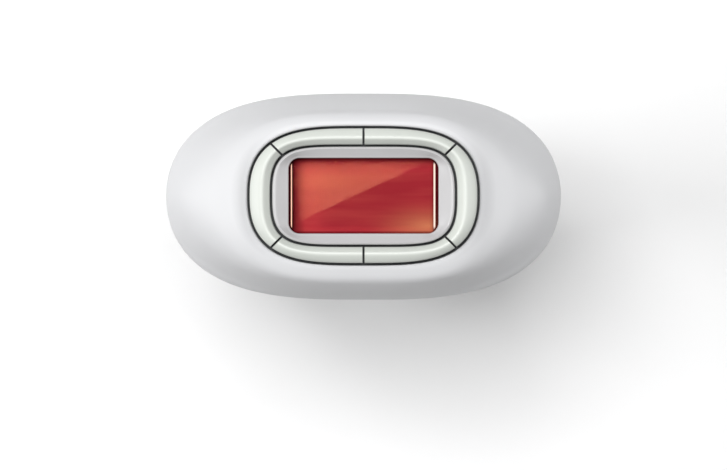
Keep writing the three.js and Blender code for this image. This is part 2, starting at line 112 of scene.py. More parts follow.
def oval(row, turns):
    """Points of one oval section [half width, front, back, z, p, q] at the given directions."""
    a, front, back, z, p, q = row
    c, s = np.abs(np.cos(turns)), np.abs(np.sin(turns))
    r = np.ones_like(c)
    for _ in range(30):
        r -= ((r * c) ** p + (r * s) ** q - 1) * r / (p * (r * c) ** p + q * (r * s) ** q)
    depth = np.where(np.sin(turns) < 0, front, back)
    return np.stack([a * r * np.cos(turns), depth * r * np.sin(turns), np.full_like(r, z)], 1)


SKIN_CURVE = spline(SKIN, 8)


def skin_at(z):
    """The section of the skin at a height."""
    return np.array([np.interp(z, SKIN_CURVE[:, 3], column) for column in SKIN_CURVE.T])


def skin_between(low, high, edges=True):
    """Heights of the skin's rows between two cuts, closer together beside the cuts."""
    rows = SKIN_CURVE[:, 3]
    inner = rows[(rows > low + 2 * EDGE) & (rows < high - 2 * EDGE)]
    beside = [0, NEAR_EDGE, EDGE] if edges else [0]
    return np.array([*(low + np.array(beside)), *inner, *(high - np.array(beside[::-1]))])


def grid_normals(points):
    """Outward unit normals of a grid of points [row, column, xyz] whose rows are rings."""
    up = np.gradient(points, axis=0)
    along = np.roll(points, -1, 1) - np.roll(points, 1, 1)
    normal = np.cross(along, up)
    return normal / np.linalg.norm(normal, axis=2, keepdims=True)


def quads(rows, columns, close_rows):
    """Faces of a grid of points, row by row; each row is a ring."""
    faces = []
    for i in range(rows if close_rows else rows - 1):
        below, above = i * columns, (i + 1) % rows * columns
        for j in range(columns):
            k = (j + 1) % columns
            faces.append((below + j, below + k, above + k, above + j))
    return faces


def make(name, points, faces, sharp=40):
    """A mesh object from points in millimetres, with its faces turned outwards."""
    mesh = bpy.data.meshes.new(name)
    mesh.from_pydata((np.asarray(points, float) * MM).tolist(), [], faces)
    piece = bpy.data.objects.new(name, mesh)
    bpy.context.scene.collection.objects.link(piece)
    tidy(piece, sharp)
    return piece


def tidy(piece, sharp=40):
    """Welds, turns faces outwards and shades smooth, with edges over sharp degrees kept."""
    work = bmesh.new()
    work.from_mesh(piece.data)
    bmesh.ops.remove_doubles(work, verts=work.verts, dist=1e-6)
    bmesh.ops.dissolve_degenerate(work, edges=work.edges, dist=1e-7)
    bmesh.ops.recalc_face_normals(work, faces=work.faces)
    for face in work.faces:
        face.smooth = True
    for edge in work.edges:
        edge.smooth = len(edge.link_faces) == 2 and edge.calc_face_angle(0) < math.radians(sharp)
    work.to_mesh(piece.data)
    work.free()


def loft(name, rows, loop=True, sharp=40):
    """A closed mesh over rows of points: a loop of rows, or a stack with flat ends."""
    count, columns = len(rows), len(rows[0])
    faces = quads(count, columns, loop)
    if not loop:
        faces += [tuple(range(columns)), tuple(range((count - 1) * columns, count * columns))]
    return make(name, np.concatenate(rows), faces, sharp)


def settle(piece):
    """Applies the piece's modifiers."""
    ready = piece.evaluated_get(bpy.context.evaluated_depsgraph_get())
    mesh = bpy.data.meshes.new_from_object(ready)
    piece.modifiers.clear()
    piece.data = mesh


def carve(piece, cutters, sharp=40, operation="DIFFERENCE"):
    """Cuts the cutters out of the piece, or keeps what is common, and removes the cutters."""
    for cutter in cutters:
        step = piece.modifiers.new("cut", "BOOLEAN")
        step.operation, step.solver, step.object = operation, "EXACT", cutter
    settle(piece)
    for cutter in cutters:
        bpy.data.objects.remove(cutter)
    tidy(piece, sharp)
    return piece


def join_into(piece, others):
    """Adds the meshes of others to the piece, and removes them."""
    work = bmesh.new()
    work.from_mesh(piece.data)
    for other in others:
        work.from_mesh(other.data)
        bpy.data.objects.remove(other)
    work.to_mesh(piece.data)
    work.free()


def bevel(piece, width, segments=2):
    """Rounds the piece's edges that turn more than 30 degrees."""
    step = piece.modifiers.new("bevel", "BEVEL")
    step.width, step.segments = width * MM, segments
    step.limit_method, step.angle_limit = "ANGLE", math.radians(30)
    settle(piece)
    tidy(piece)


def round_rect(width, height, radius, corner=10):
    """Points of a rounded rectangle round the origin, anticlockwise."""
    radius = max(radius, 0.01)
    arc = np.linspace(0, math.pi / 2, corner)
    points = []
    for quarter, (sx, sy) in enumerate([(1, 1), (-1, 1), (-1, -1), (1, -1)]):
        turn = arc + quarter * math.pi / 2
        centre = [sx * (width / 2 - radius), sy * (height / 2 - radius)]
        points.append(centre + radius * np.stack([np.cos(turn), np.sin(turn)], 1))
    return np.concatenate(points)


def stand(u, v, level, axis):
    """Points of a flat outline set at a level along the Z or the Y axis."""
    w = np.full_like(u, level)
    return np.stack([u, v, w] if axis == "z" else [u, w, v], 1)


def tower(name, size, sections, centre=(0, 0), axis="z", corner=10):
    """Rounded rectangles of size (width, height, radius), each grown and set at a level."""
    width, height, radius = size
    rows = []
    for grow, level in sections:
        flat = round_rect(width + 2 * grow, height + 2 * grow, radius + grow, corner) + centre
        rows.append(stand(*flat.T, level, axis))
    return loft(name, rows, loop=False)


def lathe(name, profile, centre, axis="z", sides=48):
    """Turns a profile of (radius, level) round an axis through centre; its ends close it."""
    turns = np.linspace(0, 2 * math.pi, sides, endpoint=False)
    rows = [stand(radius * np.cos(turns), radius * np.sin(turns), level, axis) + centre
            for radius, level in profile]
    return loft(name, rows, loop=False)


def dress(piece, body, slot, material, *nodes):
    """Gives a piece its material, the body that it rides on and the nodes that it replaces."""
    piece.data.materials.clear()
    piece.data.materials.append(material)
    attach(piece, body)
    if nodes:
        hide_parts(*nodes)
    return piece


# ---- Materials ---------------------------------------------------------------------

def noise(tree, size, detail=2.0, stretch=(1, 1, 1)):
    """Noise whose features are about size millimetres across."""
    place = tree.nodes.new("ShaderNodeTexCoord")
    scale = tree.nodes.new("ShaderNodeMapping")
    scale.inputs["Scale"].default_value = [1 / (size * MM * s) for s in stretch]
    texture = tree.nodes.new("ShaderNodeTexNoise")
    texture.inputs["Scale"].default_value = 1.0
    texture.inputs["Detail"].default_value = detail
    tree.links.new(place.outputs["Object"], scale.inputs["Vector"])
    tree.links.new(scale.outputs["Vector"], texture.inputs["Vector"])
    return texture.outputs["Fac"]


def spread(tree, value, low, high, start=0.25, end=0.75):
    """Maps a value from start..end to low..high."""
    node = tree.nodes.new("ShaderNodeMapRange")
    for key, number in [("From Min", start), ("From Max", end), ("To Min", low), ("To Max", high)]:
        node.inputs[key].default_value = number
    tree.links.new(value, node.inputs["Value"])
    return node.outputs["Result"]


def mix(tree, fac, first, second):
    """A colour between two, each a colour or a socket."""
    node = tree.nodes.new("ShaderNodeMix")
    node.data_type = "RGBA"
    tree.links.new(fac, node.inputs["Factor"])
    for key, value in [("A", first), ("B", second)]:
        socket = next(s for s in node.inputs if s.name == key and s.type == "RGBA")
        if isinstance(value, bpy.types.NodeSocket):
            tree.links.new(value, socket)
        else:
            socket.default_value = (*value, 1)
    return next(s for s in node.outputs if s.type == "RGBA")


def surface(name, color, roughness, metallic=0.0, mottle=0.03, mottle_size=6.0,
            grain=0.004, grain_size=0.35, stretch=(1, 1, 1), **sockets):
    """A finish round one Principled shader, with mottled colour and gloss and a fine grain."""
    material = bpy.data.materials.new(name)
    material.use_nodes = True
    tree = material.node_tree
    shader = tree.nodes["Principled BSDF"]
    patches = noise(tree, mottle_size, 3.0, stretch)
    tint = mix(tree, spread(tree, patches, 0, 1),
               [c * (1 - mottle) for c in color], [min(1, c * (1 + mottle)) for c in color])
    tree.links.new(tint, shader.inputs["Base Color"])
    tree.links.new(spread(tree, patches, roughness * 0.92, min(1, roughness * 1.08)),
                   shader.inputs["Roughness"])
    shader.inputs["Metallic"].default_value = metallic
    for key, value in sockets.items():
        shader.inputs[key.replace("_", " ")].default_value = value
    bump = tree.nodes.new("ShaderNodeBump")
    bump.inputs["Distance"].default_value = grain * MM
    tree.links.new(noise(tree, grain_size, 2.0, stretch), bump.inputs["Height"])
    tree.links.new(bump.outputs["Normal"], shader.inputs["Normal"])
    return material


PEARL = surface("pearl_plastic", (0.60, 0.603, 0.615), 0.42, mottle=0.012, mottle_size=14,
                grain=0.0015, grain_size=0.12, Specular_IOR_Level=0.35)
PAD_WHITE = surface("pad_plastic", (0.58, 0.605, 0.565), 0.42, mottle=0.015, mottle_size=5,
                    grain=0.001, grain_size=0.2)
BEZEL_GREY = surface("bezel_plastic", (0.45, 0.445, 0.45), 0.38, mottle=0.02, mottle_size=7,
                     grain=0.002, grain_size=0.15)
RUBBER = surface("black_rubber", (0.03, 0.03, 0.033), 0.75, mottle=0.12, grain=0.01)
DARK = surface("dark_plastic", (0.055, 0.058, 0.063), 0.5, mottle=0.08, grain=0.008)
MIRROR = surface("reflector_metal", (0.9, 0.88, 0.86), 0.16, 1.0, grain=0.002,
                 grain_size=0.5, stretch=(14, 1, 1))
STEEL = surface("brushed_steel", (0.62, 0.63, 0.65), 0.28, 1.0, mottle=0.06, mottle_size=1.5)
CHROME = surface("trim_chrome", (0.80, 0.81, 0.83), 0.12, 1.0, mottle=0.03, mottle_size=3)
CERAMIC = surface("white_ceramic", (0.80, 0.78, 0.72), 0.5, mottle=0.05, mottle_size=1.2)
LEAD_RED = surface("silicone_lead", (0.45, 0.035, 0.03), 0.45, mottle=0.08, mottle_size=2)
BOARD = surface("circuit_board", (0.02, 0.13, 0.055), 0.35, mottle=0.25, mottle_size=2.2)
SLEEVE = surface("capacitor_sleeve", (0.02, 0.025, 0.045), 0.3, mottle=0.1, mottle_size=5)
FERRITE = surface("ferrite", (0.06, 0.056, 0.052), 0.65, mottle=0.2, mottle_size=0.8, grain=0.02)
COPPER = surface("copper_wire", (0.65, 0.26, 0.11), 0.3, 1.0, mottle=0.12, mottle_size=1,
                 grain=0.05, grain_size=0.3, stretch=(8, 8, 1))
ALUMINIUM = surface("aluminium", (0.68, 0.69, 0.71), 0.33, 1.0, mottle=0.05, mottle_size=2)
KEY_GREY = surface("key_plastic", (0.74, 0.75, 0.765), 0.3, mottle=0.02, mottle_size=4,
                   Coat_Weight=0.3, Coat_Roughness=0.15)
PANEL_GREY = surface("panel_plastic", (0.40, 0.41, 0.43), 0.22, mottle=0.03, mottle_size=6,
                     Coat_Weight=0.5, Coat_Roughness=0.08)
LIGHT = surface("light_guide", (0.85, 0.88, 0.93), 0.2, mottle=0.05, mottle_size=1)


def place_along(tree, axis, absolute=False):
    """The place along an object axis, in metres, or its distance from the middle."""
    place = tree.nodes.new("ShaderNodeTexCoord")
    split = tree.nodes.new("ShaderNodeSeparateXYZ")
    tree.links.new(place.outputs["Object"], split.inputs["Vector"])
    if not absolute:
        return split.outputs[axis]
    size = tree.nodes.new("ShaderNodeMath")
    size.operation = "ABSOLUTE"
    tree.links.new(split.outputs[axis], size.inputs[0])
    return size.outputs["Value"]


def axis_mask(tree, axis, start, end, absolute=False):
    """Grows from 0 to 1 between two places along an object axis, in millimetres."""
    return spread(tree, place_along(tree, axis, absolute), 0, 1, start * MM, end * MM)


def shade(tree, kind, color, **sockets):
    """A shader node; the colour is a colour or a socket."""
    node = tree.nodes.new(f"ShaderNodeBsdf{kind}")
    if isinstance(color, bpy.types.NodeSocket):
        tree.links.new(color, node.inputs["Color"])
    else:
        node.inputs["Color"].default_value = (*color, 1)
    for key, value in sockets.items():
        node.inputs[key].default_value = value
    return node.outputs["BSDF"]


def blend(tree, fac, first, second):
    """Mixes two shaders by a number or a socket."""
    node = tree.nodes.new("ShaderNodeMixShader")
    if isinstance(fac, bpy.types.NodeSocket):
        tree.links.new(fac, node.inputs["Fac"])
    else:
        node.inputs["Fac"].default_value = fac
    tree.links.new(first, node.inputs[1])
    tree.links.new(second, node.inputs[2])
    return node.outputs["Shader"]


def math_node(tree, operation, first, second):
    """Two numbers or sockets combined, and kept between 0 and 1."""
    node = tree.nodes.new("ShaderNodeMath")
    node.operation = operation
    node.use_clamp = True
    for socket, value in zip(node.inputs, (first, second)):
        if isinstance(value, bpy.types.NodeSocket):
            tree.links.new(value, socket)
        else:
            socket.default_value = value
    return node.outputs["Value"]


def fresnel(tree, ior):
    """The share of light that a clear face of this IOR mirrors."""
    node = tree.nodes.new("ShaderNodeFresnel")
    node.inputs["IOR"].default_value = ior
    return node.outputs["Fac"]


def bare_material(name):
    """A material without its Principled shader, and its node tree."""
    material = bpy.data.materials.new(name)
    material.use_nodes = True
    tree = material.node_tree
    tree.nodes.remove(tree.nodes["Principled BSDF"])
    return material, tree


def tinted_glass(name, tint, roughness):
    """Clear tinted glass: what is behind shows through, and the face mirrors the studio."""
    material, tree = bare_material(name)
    streaks = spread(tree, noise(tree, 5, 2.0, (4, 1, 1)), 0, 1)
    clear = shade(tree, "Transparent", mix(tree, streaks, [t * 0.94 for t in tint], tint))
    gloss = shade(tree, "Glossy", (0.8, 0.8, 0.8), Roughness=roughness)
    both = blend(tree, fresnel(tree, 1.5), clear, gloss)
    tree.links.new(both, tree.nodes["Material Output"].inputs["Surface"])
    return material


def spot(tree, centre, reach):
    """1 at a place on the window, falling smoothly to 0 at the reach along X and Y."""
    place = tree.nodes.new("ShaderNodeTexCoord")
    move = tree.nodes.new("ShaderNodeMapping")
    move.inputs["Location"].default_value = [-c / r for c, r in zip(centre, reach)] + [0]
    move.inputs["Scale"].default_value = [1 / (r * MM) for r in reach] + [0]
    ball = tree.nodes.new("ShaderNodeTexGradient")
    ball.gradient_type = "QUADRATIC_SPHERE"
    tree.links.new(place.outputs["Object"], move.inputs["Vector"])
    tree.links.new(move.outputs["Vector"], ball.inputs["Vector"])
    return ball.outputs["Fac"]


# The filter window's red coating in linear RGB, as the two ends of its painted streaks of
# reflector glint. Places in the lists that follow are millimetres from the window's middle.
COATING = ((0.58, 0.045, 0.066), (0.70, 0.082, 0.088))
COATING_SHADE = (0.05, 0.001, 0.006)
# centre, reach and colour of two painted patches, for light thrown back by the reflector
COATING_GLOWS = [((-8, 3.0), (17, 4.2), (0.80, 0.13, 0.10)),
                 ((13, -6.0), (14, 5.5), (0.98, 0.36, 0.18))]
# axis, places where the frame's painted shade starts and is full, both sides or one, depth
COATING_EDGES = [("X", -11.8, -14.0, False, 0.75), ("Y", 5.2, 7.3, False, 0.75),
                 ("X", 13.3, 14.2, False, 0.3), ("Y", -6.9, -7.4, False, 0.7),
                 ("X", 13.9, 14.3, True, 0.8)]
# the same for the painted shade that dims the mirror image beside the frame
MIRROR_EDGES = [("X", -11.2, -13.6, False, 0.9), ("Y", 4.4, 7.0, False, 0.85),
                ("X", 14.2, 14.3, True, 1.0), ("Y", 6.85, 6.95, True, 1.0)]
# side, start, end and colour of the painted lines of light at the ground short ends
END_LINES = [(1, 14.05, 14.4, (0.95, 0.68, 0.58)), (-1, 14.35, 14.55, (0.95, 0.56, 0.40))]
COATING_DEPTH = 1.9                   # below the window's face


def red_coating(tree):
    """Red with painted streaks of reflector glint, the painted glows and strips of painted shade
    beside the frame.
    """
    # Painted streaks of reflector glint, drawn out along X.
    glint_streaks = spread(tree, noise(tree, 2.2, 2.0, (9, 1, 1)), 0, 1, 0.35, 0.7)
    red = mix(tree, glint_streaks, *COATING)
    for centre, reach, tone in COATING_GLOWS:
        red = mix(tree, spot(tree, centre, reach), red, tone)
    # Painted shade of the frame, in strips beside it.
    for axis, start, end, both, depth in COATING_EDGES:
        mask = axis_mask(tree, axis, start, end, both)
        red = mix(tree, math_node(tree, "MULTIPLY", mask, depth), red, COATING_SHADE)
    see_through = shade(tree, "Transparent", (0.9, 0.3, 0.2))
    return blend(tree, 0.2, shade(tree, "Diffuse", red), see_through)


def end_lines(tree, inner):
    """Adds the lines of light below the face in the pane's short ends."""
    low_part = axis_mask(tree, "Z", PANE_TOP - 0.5, PANE_TOP - 0.4)
    for side, start, end, tone in END_LINES:
        line = math_node(tree, "MULTIPLY", axis_mask(tree, "X", side * start, side * (start + 0.1)),
                         axis_mask(tree, "X", side * (end + 0.1), side * end))
        line = math_node(tree, "MULTIPLY", line, axis_mask(tree, "Y", 6.9, 6.2, absolute=True))
        inner = blend(tree, math_node(tree, "MULTIPLY", line, low_part), inner,
                      shade(tree, "Diffuse", tone))
    return inner


def filter_glass():
    """Coloured pane: clear body, red coating under it, painted lines of light at the ground short
    ends, tinted gloss on top.
    """
    material, tree = bare_material("filter_glass")
    coating = red_coating(tree)
    body = shade(tree, "Transparent", (1.0, 0.93, 0.92))
    under = axis_mask(tree, "Z", PANE_TOP - COATING_DEPTH, PANE_TOP - COATING_DEPTH - 0.1)
    inner = end_lines(tree, blend(tree, under, body, coating))

    facing = tree.nodes.new("ShaderNodeLayerWeight")
    facing.inputs["Blend"].default_value = 0.3
    sheen = mix(tree, facing.outputs["Facing"], (0.085, 0.033, 0.017), (1.0, 0.9, 0.88))
    share = fresnel(tree, 1.6)
    # Painted shade: the mirror image is dimmed beside the frame.
    for axis, start, end, both, depth in MIRROR_EDGES:
        mask = axis_mask(tree, axis, start, end, both)
        share = math_node(tree, "MULTIPLY", share, spread(tree, mask, 1, 1 - depth, 0, 1))
    gloss = shade(tree, "Glossy", sheen, Roughness=0.005)
    tree.links.new(blend(tree, share, inner, gloss), tree.nodes["Material Output"].inputs["Surface"])
    return material


def ring_shade(material):
    """Paints a soft shade on the housing where it meets the contact ring."""
    tree = material.node_tree
    terms = []
    for axis, reach, power in (("X", 26.8, 3.0), ("Y", 15.2, 2.4)):
        share = math_node(tree, "DIVIDE", place_along(tree, axis, absolute=True), reach * MM)
        terms.append(math_node(tree, "POWER", share, power))
    total = math_node(tree, "ADD", *terms)
    near = spread(tree, total, 1, 0, 0.60, 1.0)
    near = math_node(tree, "MULTIPLY", near, axis_mask(tree, "Z", 139.5, 140.5))
    shader = tree.nodes["Principled BSDF"]
    color = shader.inputs["Base Color"].links[0].from_socket
    dark = mix(tree, math_node(tree, "MULTIPLY", near, 0.42), color, (0.20, 0.20, 0.205))
    tree.links.new(dark, shader.inputs["Base Color"])


ring_shade(PEARL)
FILTER = filter_glass()
QUARTZ = tinted_glass("quartz", (0.93, 0.95, 0.96), 0.03)


# ---- Head --------------------------------------------------------------------------

def skin_grid(heights, turns=TURNS):
    """The skin's points and outward normals on a grid of heights and directions."""
    points = np.array([oval(skin_at(z), turns) for z in heights])
    return points, grid_normals(points)


def head_cowl():
    """The oval nose of the housing, with a rounded lip round the contact ring."""
    heights = skin_between(COWL_LOW, SKIN[-1, 3] - 0.001)[:-3]
    heights = np.array([*heights, *SKIN_CURVE[SKIN_CURVE[:, 3] > heights[-1], 3]])
    points, normals = skin_grid(heights)
    inset = np.zeros(len(heights))
    inset[:2] = [EDGE, NEAR_EDGE]
    outside = points - normals * inset[:, None, None]
    lip = []
    for angle in np.radians([0, 25, 50, 75, 90]):
        grow = EDGE * (1 - math.sin(angle))
        drop = EDGE * (1 - math.cos(angle))
        lip.append(oval(SKIN[-1] + [grow, grow, grow, -drop, 0, 0], TURNS))
    lip.append(oval(SKIN[-1] - [0, 0, 0, WALL, 0, 0], TURNS))
    inside = (points - normals * WALL)[::-1]
    keep = [row for row in inside if row[:, 2].max() < SKIN[-1, 3] - WALL - 0.05]
    rows = [*outside[:-2], *lip, *keep]
    dress(loft("cowl", rows), "handset", "body_shell", PEARL, "head_cowl")


head_cowl()


# ---- Contact ring ------------------------------------------------------------------

PAD_OUTER = np.array([22.9, 13.55])
PAD_INNER = np.array([18.85, 10.3])
PAD_SPLIT = 0.45                      # gap between neighbouring pads
PAD_APEX = 8.2                        # where the slanting gaps meet the middle line
PAD_TURNS = np.linspace(0, 2 * math.pi, 480, endpoint=False)
PAD_END_ROUND = 0.22                  # rounding of a pad's two ends
STEM = 1.2                            # radius of a pad's guide stem
SIDE_SEAT = 20.9                      # stems of the two side pads, on the middle line
LONG_SEAT = (8, 11.83)                # stems of the four long pads
# share of the way from the outer to the inner edge, and height
PAD_SECTION = spline(np.array([
    [0.0, 142.8], [0.02, 143.15], [0.08, 143.45], [0.20, 143.8], [0.34, 144.12],
    [0.46, 144.33], [0.56, PAD_TOP], [0.66, 144.36], [0.72, 144.22], [0.80, 143.93],
    [0.92, 143.42], [0.98, 143.1], [1.0, 142.8],
]), 4)


def pad_oval(share, z):
    """The ring's outline at a share of the way from its outer to its inner edge."""
    size = PAD_OUTER + (PAD_INNER - PAD_OUTER) * share
    powers = RING_POWERS + (BEZEL_POWERS - RING_POWERS) * share
    return oval([size[0], size[1], size[1], z, *powers], PAD_TURNS)


def pad_cuts(name, side, end):
    """Planes [point, outward direction] that cut one pad out of the ring."""
    slant = PAD_SPLIT / math.sqrt(2)
    if name in ("left", "right"):
        start = Vector((side * (PAD_APEX + slant), 0, 0))
        return [(start, Vector((-side, e, 0))) for e in (1, -1)]
    return [
        (Vector((side * (PAD_APEX - slant), 0, 0)), Vector((side, -end, 0))),
        (Vector((side * PAD_SPLIT / 2, 0, 0)), Vector((-side, 0, 0))),
        (Vector((0, end * 0.1, 0)), Vector((0, -end, 0))),
    ]


def cut_pad(pad, cuts):
    """Cuts a copy of the ring down to one pad, and rounds its two ends."""
    work = bmesh.new()
    work.from_mesh(pad.data)
    for point, outward in cuts:
        parts = [*work.verts, *work.edges, *work.faces]
        bmesh.ops.bisect_plane(work, geom=parts, plane_co=point * MM, plane_no=outward,
                               clear_outer=True)
        open_edges = [e for e in work.edges if e.is_boundary]
        if open_edges:
            bmesh.ops.holes_fill(work, edges=open_edges)
    ends = [e for e in work.edges if len(e.link_faces) == 2
            and max(len(f.verts) for f in e.link_faces) > 8
            and min(v.co.z for v in e.verts) > (PAD_UNDER + 0.5) * MM]
    bmesh.ops.bevel(work, geom=ends, offset=PAD_END_ROUND * MM, segments=3, affect="EDGES",
                    profile=0.5, clamp_overlap=True)
    work.to_mesh(pad.data)
    work.free()
    tidy(pad, 50)


def contact_pads():
    """Six pads cut out of one crowned ring, each with rounded ends and a guide stem."""
    section = [(0, PAD_UNDER), *PAD_SECTION, (1, PAD_UNDER)]
    ring = loft("ring", [pad_oval(share, z) for share, z in section])
    for node in [n for n in frame["nodes"] if n.startswith("contact_pad_")]:
        name = node.removeprefix("contact_pad_")
        side = -1 if "left" in name else 1
        end = 1 if "top" in name else -1
        pad = bpy.data.objects.new(f"pad_{name}_cap", ring.data.copy())
        bpy.context.scene.collection.objects.link(pad)
        cut_pad(pad, pad_cuts(name, side, end))
        if name in ("left", "right"):
            seat = np.array([side * SIDE_SEAT, 0, 0])
        else:
            seat = np.array([side * LONG_SEAT[0], end * LONG_SEAT[1], 0])
        low = box(node)[0][2]
        profile = [(STEM - EDGE, low), (STEM, low + EDGE), (STEM, PAD_UNDER + 0.01)]
        join_into(pad, [lathe("stem", profile, seat)])
        dress(pad, f"pad_{name}", "contact_pad", PAD_WHITE, node)
    bpy.data.objects.remove(ring)


contact_pads()


# ---- Window ------------------------------------------------------------------------

OPENING = (30.2, 15.2, 2.2)           # width, depth and corner of the bezel's opening
BEZEL_DISH = 0.85                     # how far the opening's edge lies below the rim
BEZEL_LEDGE = 140.7                   # underside of the bezel over the window's flange
BEZEL_TURNS = np.linspace(0, 2 * math.pi, 512, endpoint=False)


def opening_at(grow, z):
    """The bezel's opening, grown and set at a height, with its points in BEZEL_TURNS' directions."""
    width, depth, corner = OPENING
    width, depth = width + 2 * grow, depth + 2 * grow
    outline = round_rect(width, depth, corner + grow, 40)
    angles = np.arctan2(outline[:, 1] / depth, outline[:, 0] / width) % (2 * math.pi)
    order = np.argsort(angles)
    x, y = [np.interp(BEZEL_TURNS, angles[order], outline[order, k], period=2 * math.pi)
            for k in range(2)]
    return stand(x, y, z, "z")


def window_bezel():
    """The dished frame between the contact ring and the filter window."""
    low, high = box("window_bezel")
    a, b = high[:2]

    def outer(inset, z):
        return oval([a - inset, b - inset, b - inset, z, *BEZEL_POWERS], BEZEL_TURNS)

    bottom, rim = low[2], high[2]
    lip = rim - BEZEL_DISH
    rounding = [(0, rim - 0.45), (0.06, rim - 0.22), (0.2, rim - 0.06), (0.42, rim)]
    rows = [outer(0, bottom), *[outer(inset, z) for inset, z in rounding]]
    start, end = rows[-1], opening_at(0.3, lip)
    rows += [start + (end - start) * share for share in (0.25, 0.5, 0.75)]
    rows += [opening_at(grow, z) for grow, z in [
        (0.3, lip), (0.12, lip - 0.04), (0.03, lip - 0.14), (0, lip - 0.35),
        (0, BEZEL_LEDGE + 0.02), (1.2, BEZEL_LEDGE), (1.2, bottom),
    ]]
    dress(loft("bezel", rows), "handset", "bezel_grey", BEZEL_GREY, "window_bezel")


def filter_window():
    """The red pane, with ground edges and a flange under the bezel."""
    bottom, top = box("filter_window")[0][2], PANE_TOP
    sections = [
        (0.9, bottom), (0.9, bottom + 0.75), (-0.3, bottom + 0.8), (-0.3, top - 0.4),
        (-0.36, top - 0.2), (-0.5, top - 0.06), (-0.7, top), (-0.75, top), (-0.8, top),
    ]
    pane = tower("filter_pane", OPENING, sections)
    dress(pane, "handset", "filter_glass", FILTER, "filter_window")


window_bezel()
filter_window()


# ---- Grips -------------------------------------------------------------------------

PANEL = dict(width=28, height=53, z=78.5, depth=1.2)
FLASH_KEY = dict(width=20, height=11, z=93, face=-17.0, flange=-13.6)
POWER_KEY = dict(width=9, height=9, z=62, face=-18.9, flange=-15.7)
PANEL_LAYER = (48, 109)               # heights between which the panel and its recess lie
PANEL_GAP = 0.2                       # recess round the panel
KEY_GAP = 0.4                         # opening round a key
KEY_TIP = -12.1                       # where the keys' pegs end
TRIM_WIDTH = 1.2                      # ring round the flash key
LEVEL_LIGHTS = [72, 75, 78, 81, 84]   # heights
LIGHT_BAR = (-13.3, -12.0)            # front and back of the bar that joins the lights
VENTS = [78, 82, 86, 90, 94]          # heights
VENT = (24, 2, 0.99)                  # width, height and corner
SCREW_X, SCREW_SEAT = 24, 9.0
SCREW_SINK = 3.0                      # radius of the hole down to a screw's head
SCREWS = {1: (-1, 24), 2: (1, 24), 3: (-1, 99.5), 4: (1, 99.5)}  # side and height
BOSS, BOSS_BORE = 3.3, 1.7            # radii


def skin_layer(name, outset, inset, low, high):
    """A layer of the skin between two heights, from outset proud of it to inset below it."""
    points, normals = skin_grid(skin_between(low, high, edges=False))
    return loft(name, [*(points + normals * outset), *(points - normals * inset)[::-1]])


def pill(spec, grow, front=-30, back=-5):
    """A rounded slot's prism along Y, grown from the size in spec."""
    size = (spec["width"], spec["height"], min(spec["width"], spec["height"]) / 2 - 0.001)
    return tower("pill", size, [(grow, front), (grow, back)], (0, spec["z"]), "y", corner=20)


def peg(radius, x, z, front, back, sides=40):
    """A round peg along Y."""
    return lathe("peg", [(radius, front), (radius, back)], (x, 0, z), "y", sides)


def light_holes():
    """Cutters for the level lights."""
    return [peg(1.1, 0, z, -25, -5, 24) for z in LEVEL_LIGHTS]


def half_shell(name, side):
    """One half of the grip, with its parting edges rounded."""
    points, normals = skin_grid(skin_between(GRIP_LOW, GRIP_HIGH))
    inset = np.zeros(len(points))
    inset[[0, -1]] = EDGE
    inset[[1, -2]] = NEAR_EDGE
    outside = points - normals * inset[:, None, None]
    inside = (points - normals * WALL)[::-1]
    shell = loft(name, [*outside, *inside])
    work = bmesh.new()
    work.from_mesh(shell.data)
    bmesh.ops.bisect_plane(work, geom=[*work.verts, *work.edges, *work.faces], clear_outer=True,
                           plane_co=(0, side * SEAM * MM, 0), plane_no=(0, -side, 0))
    filled = bmesh.ops.holes_fill(work, edges=[e for e in work.edges if e.is_boundary])
    rim = {edge for face in filled["faces"] for edge in face.edges}
    outer = [e for e in rim if abs(abs(e.verts[0].co.x) - abs(e.verts[1].co.x)) < 0.5 * MM
             and abs(e.verts[0].co.x) > (skin_at(e.verts[0].co.z / MM)[0] - 0.5) * MM]
    bmesh.ops.bevel(work, geom=outer, offset=0.2 * MM, segments=2, affect="EDGES", profile=0.5)
    work.to_mesh(shell.data)
    work.free()
    tidy(shell)
    return shell


def bosses(profile):
    """Screw bosses of one half, trimmed so that they end inside the housing wall."""
    points, normals = skin_grid(skin_between(15, 110, edges=False), TURNS[::4])
    turns = np.linspace(0, 2 * math.pi, 32, endpoint=False)
    made = []
    for side, z in SCREWS.values():
        rows = [stand(side * SCREW_X + r * np.cos(turns), z + r * np.sin(turns), y, "y")
                for r, y in profile]
        core = loft("core", list(points - normals * WALL * 0.6), loop=False)
        made.append(carve(loft("boss", rows), [core], operation="INTERSECT"))
    return made


def front_grip():
    """The front half, with the panel's recess, key openings and closed screw bosses."""
    shell = half_shell("grip_front", -1)
    recess = carve(skin_layer("recess", 2, PANEL["depth"], *PANEL_LAYER), [pill(PANEL, PANEL_GAP)],
                   operation="INTERSECT")
    carve(shell, [recess, pill(FLASH_KEY, KEY_GAP), pill(POWER_KEY, KEY_GAP), *light_holes()])
    face, bottom, far = -2 * SEAM, -9, -25
    join_into(shell, bosses([(BOSS, far), (BOSS, face), (BOSS_BORE, face), (BOSS_BORE, bottom),
                             (0.01, bottom), (0.01, far)]))
    dress(shell, "handset", "body_shell", PEARL, "front_grip_shell")


def back_grip():
    """The back half, with the air vents and the sunk seats of the screws."""
    shell = half_shell("grip_back", 1)
    vents = [tower("vent", VENT, [(0, 5), (0, 30)], (0, z), "y") for z in VENTS]
    sinks = [peg(SCREW_SINK, side * SCREW_X, z, SCREW_SEAT, 30) for side, z in SCREWS.values()]
    carve(shell, [*vents, *sinks])
    face, sink, far = 2 * SEAM, SCREW_SINK - 0.04, 25
    join_into(shell, bosses([(BOSS_BORE, face), (BOSS, face), (BOSS, far), (sink, far),
                             (sink, SCREW_SEAT), (BOSS_BORE, SCREW_SEAT)]))
    dress(shell, "handset", "body_shell", PEARL, "back_grip_shell")


